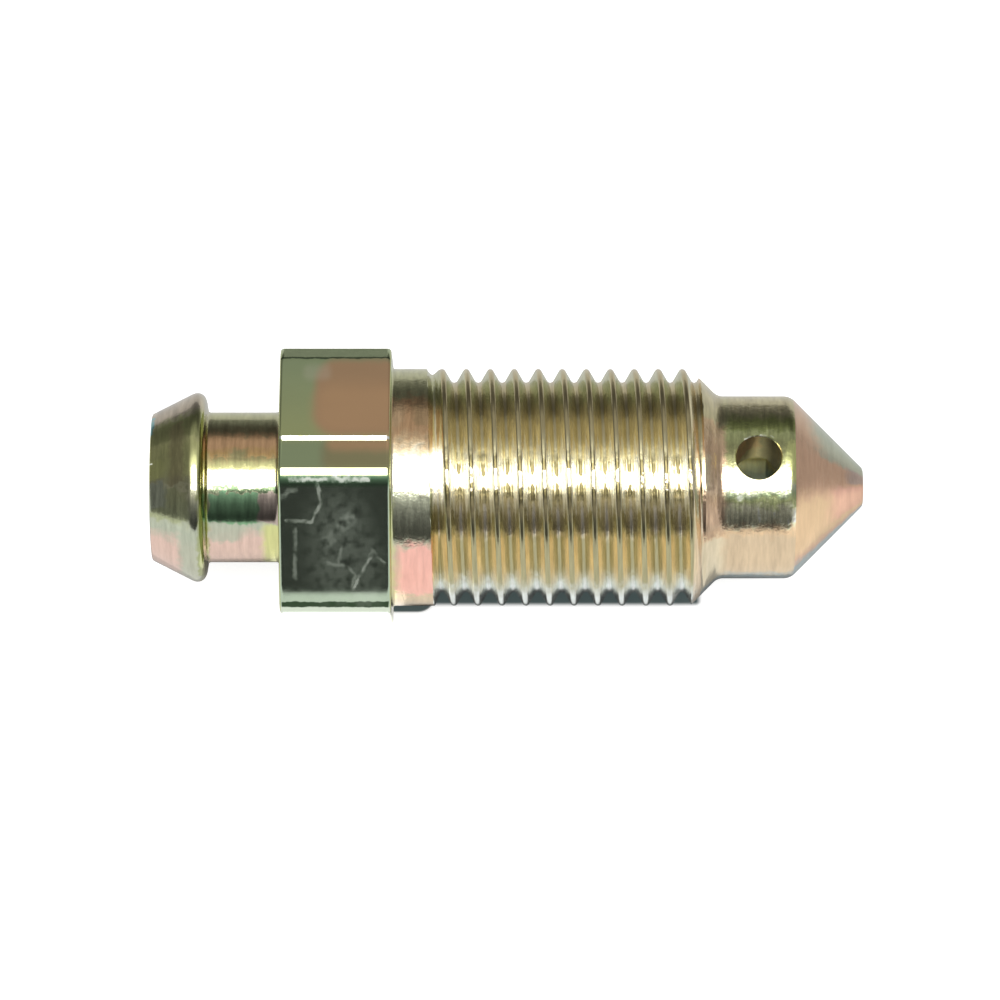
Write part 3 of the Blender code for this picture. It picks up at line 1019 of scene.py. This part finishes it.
# %% Tints of the hexagon
# The paleness of the mint from -60 to 0 degrees, the lower front flat, is a painted reflection of the
# white floor.
HEXAGON_BASE = [
    (-66, FERN), (-60, MINT), (0.2, MINT), (1.2, SLATE), (54, SLATE), (55, LEAF), (58.6, LEAF),
    (59.4, MOSS), (76, MOSS), (112, FERN),
]
HEXAGON_PATCHES = [
    (6.9, 11.0, 76.5, 114.6, 0.5, 0.9, RUST, 1.0),
    (6.9, 11.0, 76.5, 103.0, 1.0, 0.9, BRONZE, 0.9),
    (4.0, 7.4, 60.5, 73.6, 0.4, 0.2, FERN, 1.0),
    (7.2, 11.0, 60.5, 73.5, 0.6, 0.4, BROWN, 0.8),
    (7.4, 11.0, 69.0, 74.5, 0.5, 0.3, BRONZE, 0.8),
    (6.4, 7.5, 105, 112, 0.4, 0.25, PALE, 0.25),
    # A painted highlight: a white line on the pressed step of the upper flat.
    (5.0, 11.0, 74.4, 75.6, 0.05, 0.05, HIGHLIGHT_WHITE, 1.0),
    (5.0, 11.0, 115.6, 140.0, 0.02, 0.02, FERN, 1.0),
    (5.0, 11.0, 115.0, 115.8, 0.03, 0.03, DEEP_GREEN, 0.8),
    # Painted shade: a dark green strip near the lower front corner, where it mirrors the shade below the
    # hexagon.
    (5.5, 9.9, 0.9, 3.4, 0.04, 0.04, DEEP_GREEN, 1.0),
    # Painted reflection: a pale strip at the lower front corner, which mirrors white.
    (5.0, 11.0, -3.0, 0.5, 0.03, 0.03, MINT, 1.0),
    (4.0, HEX_AT + 0.05, -200, 200, 0.04, 0.02, MOSS, 1.0),
    (SHOULDER_AT - 0.05, 11.0, -200, 200, 0.04, 0.02, MOSS, 1.0),
]
HEXAGON_WEAR = [
    (0.11, 0.42, [(7.03, 55.5), (7.15, 47.2), (6.77, 39.2), (5.75, 39.8)]),
    (0.14, 0.28, [(5.6, 50), (5.9, 52.5), (6.2, 53)]),
    (0.13, 0.25, [(6.1, 36), (6.05, 13)]),
    (0.11, 0.46, [(9.15, 22.5), (8.28, 5.5)]),
    (0.12, 0.26, [(7.4, 20), (8.2, 18.6), (8.55, 14.5), (8.3, 7)]),
    (0.14, 0.26, [(7.85, 20), (8.0, 28)]),
    (0.12, 0.28, [(9.1, 22.0), (9.3, 26), (9.7, 20)]),
    (0.5, 0.3, [(8.0, 38), (8.3, 40)]),
    (0.5, 0.22, [(7.4, 30), (7.7, 33)]),
    (2.0, 0.12, [(7.9, 38), (7.9, 20)]),
    (1.2, 0.1, [(8.9, 26), (8.9, 10)]),
    (0.12, 0.8, [(5.9, 57.0), (9.1, 57.0)]),
]

# %% Make the finish of the hexagon
finishes["hexagon"] = plating(
    "plated_hexagon",
    HEXAGON_BASE,
    HEXAGON_PATCHES,
    HEXAGON_WEAR,
    rings=0.3,
    depth=0.0004,
    rough=0.1,
    ragged=0.1,
    streak=[(0, 0.05)],
)
for material in finishes.values():
    drilled.materials.append(material)
print("materials on the screw:", len(drilled.materials))

# %% Give every face its finish
CRESTS_FROM, CRESTS_TO = 11.72, 22.8
FINISH_ENDS = (
    ("nipple", HEX_AT - DISH),
    ("hexagon", SHOULDER_AT + DISH),
    ("shoulder", CRESTS_FROM),
    ("thread", CRESTS_TO),
    ("tail", CONE_AT + 0.12),
    ("cone", TIP_AT + 1),
)
names = list(finishes)
for polygon in drilled.polygons:
    centre = polygon.center
    along = (centre.x - nipple_end) / MM
    radius = math.hypot(centre.y, centre.z - axis_point.z) / MM
    finish = next(name for name, end in FINISH_ENDS if along < end)
    from_hole = centre - place(HOLE_AT, 0)
    off_hole = from_hole - outwards * from_hole.dot(outwards)
    in_bore = radius < BORE_RADIUS + 0.01 and 0.25 < along < TIP_AT - 2
    in_hole = off_hole.length < (HOLE_RADIUS + 0.01) * MM and centre.z > axis_point.z
    if in_bore or in_hole:
        finish = "bore"
    polygon.material_index = names.index(finish)

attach(screw_piece, "root")
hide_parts("bleeder_screw")
print("screw piece is ready")

# %% [markdown]
# ## Floor, light and camera
#
# Bright metal shows what stands round it. A white floor, one wide softbox above the camera and a
# dimmer room behind it give the screw its white streak, its dark band and its pale underside.
#
# White paper round a screw is dark close below it, and the lower crests mirror that shade. A floor
# that glows for the camera has no shade of its own, so soft dark areas are painted below the screw.
# Mirrored rays meet a wide one, and the camera sees a narrow one below the thread and the shoulder.

# %% The floor
FLOOR_REACH = 1.5
CAMERA_GLOW, FRONT_GLOW, HEXAGON_GLOW = 0.85, 0.2, 0.6
TAIL_LIGHTENING = -0.55
GLOW_WHITE, GLOW_DARK = (1, 1, 1, 1), (0.055, 0.08, 0.08, 1)
PAPER, SHADED_PAPER = (0.5, 0.5, 0.5, 1), (0.06, 0.065, 0.065, 1)
floor_bm = bmesh.new()
bmesh.ops.create_grid(floor_bm, x_segments=1, y_segments=1, size=FLOOR_REACH)
floor = as_object(floor_bm, "floor")
floor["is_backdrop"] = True
floor_paint = bpy.data.materials.new("white_floor")
floor_paint.use_nodes = True
tree = floor_paint.node_tree
tree.nodes.clear()
rays = add_node(tree, "ShaderNodeLightPath")
mirrored = calculate(tree, "MAXIMUM", rays.outputs["Is Glossy Ray"], rays.outputs["Is Transmission Ray"])
spot = add_node(tree, "ShaderNodeTexCoord").outputs["Object"]
on_floor = add_node(tree, "ShaderNodeSeparateXYZ", {0: spot})


def floor_area(low_x, high_x, low_y, high_y, soft, rounding=0.2):
    """1 within a rectangle of the floor, in millimetres, with a soft edge and rounded corners."""
    lower, upper = low_y / MM_PER_DEGREE, high_y / MM_PER_DEGREE
    across = calculate(tree, "MULTIPLY", on_floor.outputs["Y"], 1 / (MM * MM_PER_DEGREE))
    along = calculate(tree, "MULTIPLY", on_floor.outputs["X"], 1 / MM)
    edges = {"From": low_x, "To": high_x, "Lower": lower, "Upper": upper}
    edges |= {"Along": along, "Angle": across, "Soft": soft, "Round": rounding}
    return use_group(tree, patch, edges)["Mask"]


# A painted pool of light in front of the hexagon, which only mirrored rays meet, so that its lower front
# flat mirrors white.
light_pool_before_hexagon = floor_area(-10.0, -4.4, -6.8, -1.5, 0.3)
under_shank = floor_area(-4.1, 12.6, -3.5, 3.0, 0.6)
under_thread = floor_area(-4.9, 8.1, -2.12, -1.15, 0.3)
under_tail = floor_area(7.9, 20.0, -9.0, 9.0, 0.6)
under_shoulder = floor_area(-5.4, -3.1, -2.5, -1.0, 0.15, 0.7)

# %% The floor's glow and its paper
core = calculate(tree, "MAXIMUM", under_thread, under_shoulder)
in_front = calculate(tree, "LESS_THAN", on_floor.outputs["Y"], -3.0 * MM)
open_floor = calculate(tree, "SUBTRACT", in_front, under_shank, clamp=True)
glow_back = calculate(tree, "MULTIPLY", open_floor, FRONT_GLOW)
glow_back = calculate(tree, "MULTIPLY_ADD", light_pool_before_hexagon, HEXAGON_GLOW, glow_back)
mirrored_glow = calculate(tree, "MULTIPLY", mirrored, glow_back)
seen = rays.outputs["Is Camera Ray"]
glow_level = calculate(tree, "MULTIPLY_ADD", seen, CAMERA_GLOW, mirrored_glow)
seen_core = calculate(tree, "MULTIPLY", seen, core)
glow_colour = blend_colour(tree, seen_core, GLOW_WHITE, GLOW_DARK)
glow = add_node(tree, "ShaderNodeEmission", {"Color": glow_colour, "Strength": glow_level})
tail_share = calculate(tree, "MULTIPLY_ADD", under_tail, TAIL_LIGHTENING, 1.0)
shade = calculate(tree, "MULTIPLY", under_shank, tail_share)
shade = calculate(tree, "MULTIPLY_ADD", mirrored, shade, seen_core)
paper_colour = blend_colour(tree, shade, PAPER, SHADED_PAPER)
paper = add_node(tree, "ShaderNodeBsdfDiffuse", {"Color": paper_colour})
surface = add_node(tree, "ShaderNodeAddShader", {0: paper.outputs[0], 1: glow.outputs[0]})
add_node(tree, "ShaderNodeOutputMaterial", {"Surface": surface.outputs[0]})
floor.data.materials.append(floor_paint)
print("floor side in m:", 2 * FLOOR_REACH)

# %% The softbox
SOFTBOX_ANGLE = 65.5
SOFTBOX_AWAY = 0.4
SOFTBOX_WIDTH, SOFTBOX_DEPTH = 0.5, 0.207
SOFTBOX_LEVEL = 4.6  # white paper would be 1
WATTS_PER_LEVEL = 4  # for every square metre of a softbox
softbox_light = bpy.data.lights.new("softbox", "AREA")
softbox_light.shape = "RECTANGLE"
softbox_light.size = SOFTBOX_WIDTH
softbox_light.size_y = SOFTBOX_DEPTH
softbox_light.energy = WATTS_PER_LEVEL * SOFTBOX_LEVEL * softbox_light.size * softbox_light.size_y
softbox = bpy.data.objects.new("softbox", softbox_light)
bpy.context.scene.collection.objects.link(softbox)
lift = math.radians(SOFTBOX_ANGLE)
aim = Vector((0, math.cos(lift), -math.sin(lift)))
softbox.location = axis_point - aim * SOFTBOX_AWAY
softbox.rotation_euler = aim.to_track_quat("-Z", "Y").to_euler()
softbox.visible_camera = False
print("softbox power in W:", round(softbox_light.energy, 3))

# %% The room
# Each step states an angle above the front horizon, over the top and down behind, and a grey.
ROOM = (
    (0, 0.05), (10, 0.07), (18, 0.13), (28, 0.20), (36, 0.34), (42, 0.50), (50, 0.90), (80, 1.50),
    (86, 1.50), (92, 1.20), (98, 0.66), (108, 0.46), (130, 0.44), (136, 0.30), (142, 0.16),
    (150, 0.11), (158, 0.10), (168, 0.16), (180, 0.28),
)
ROOM_ENDS = ((-1, 0.2), (1, 0.44))  # the side of x, and its grey
END_FROM, END_TO = 0.45, 0.8
room = bpy.data.worlds.new("room")
bpy.context.scene.world = room
room.use_nodes = True
tree = room.node_tree
tree.nodes.clear()
direction = add_node(tree, "ShaderNodeTexCoord").outputs["Generated"]
parts = add_node(tree, "ShaderNodeSeparateXYZ", {0: direction})
towards = calculate(tree, "MULTIPLY", parts.outputs["Y"], -1.0)
height = calculate(tree, "ARCTAN2", parts.outputs["Z"], towards)
height = calculate(tree, "DIVIDE", height, math.pi)
level = colour_ramp(tree, height, [(up / 180, (grey, grey, grey, 1)) for up, grey in ROOM])
for sign, grey in ROOM_ENDS:
    end_share = soft_step(tree, parts.outputs["X"], END_FROM * sign, END_TO * sign)
    level = blend_colour(tree, end_share, level, (grey, grey, grey, 1))
rays = add_node(tree, "ShaderNodeLightPath")
level = blend_colour(tree, rays.outputs["Is Camera Ray"], level, (1, 1, 1, 1))
glow = add_node(tree, "ShaderNodeBackground", {"Color": level, "Strength": 1.0})
add_node(tree, "ShaderNodeOutputWorld", {"Surface": glow.outputs[0]})
bpy.context.scene.view_settings.view_transform = "Standard"
print("greys of the room:", len(ROOM) + len(ROOM_ENDS))

# %% The camera
CAMERA_ANGLE = 54.0
CAMERA_AWAY = 280.0
PIXELS_PER_MM = 23.98
IMAGE_SIDE = 1000
SENSOR = 36.0
AIM_BELOW, AIM_LEFT = 0.53, 0.319
lift = math.radians(CAMERA_ANGLE)
back = Vector((0, -math.cos(lift), math.sin(lift)))
up = Vector((0, math.sin(lift), math.cos(lift)))
camera_data = bpy.data.cameras.new("camera")
camera_data.sensor_width = SENSOR
camera_data.lens = PIXELS_PER_MM * CAMERA_AWAY / IMAGE_SIDE * SENSOR
camera_data.clip_end = 10
camera = bpy.data.objects.new("camera", camera_data)
bpy.context.scene.collection.objects.link(camera)
aim_point = axis_point - up * AIM_BELOW * MM - Vector((AIM_LEFT * MM, 0, 0))
camera.location = aim_point + back * CAMERA_AWAY * MM
camera.rotation_euler = (-back).to_track_quat("-Z", "Y").to_euler()
bpy.context.scene.camera = camera
print("lens in mm:", round(camera_data.lens, 1))

# %% [markdown]
# ## The boxes
#
# The finished piece's box is written beside the CAD model's, so that the two can be compared.

now_low, now_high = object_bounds()
boxes = {"cad": [list(cad_low), list(cad_high)], "scene": [list(now_low), list(now_high)]}
for name, (low, high) in boxes.items():
    print(name, "box in mm:", [round(1000 * c, 3) for c in low + high])
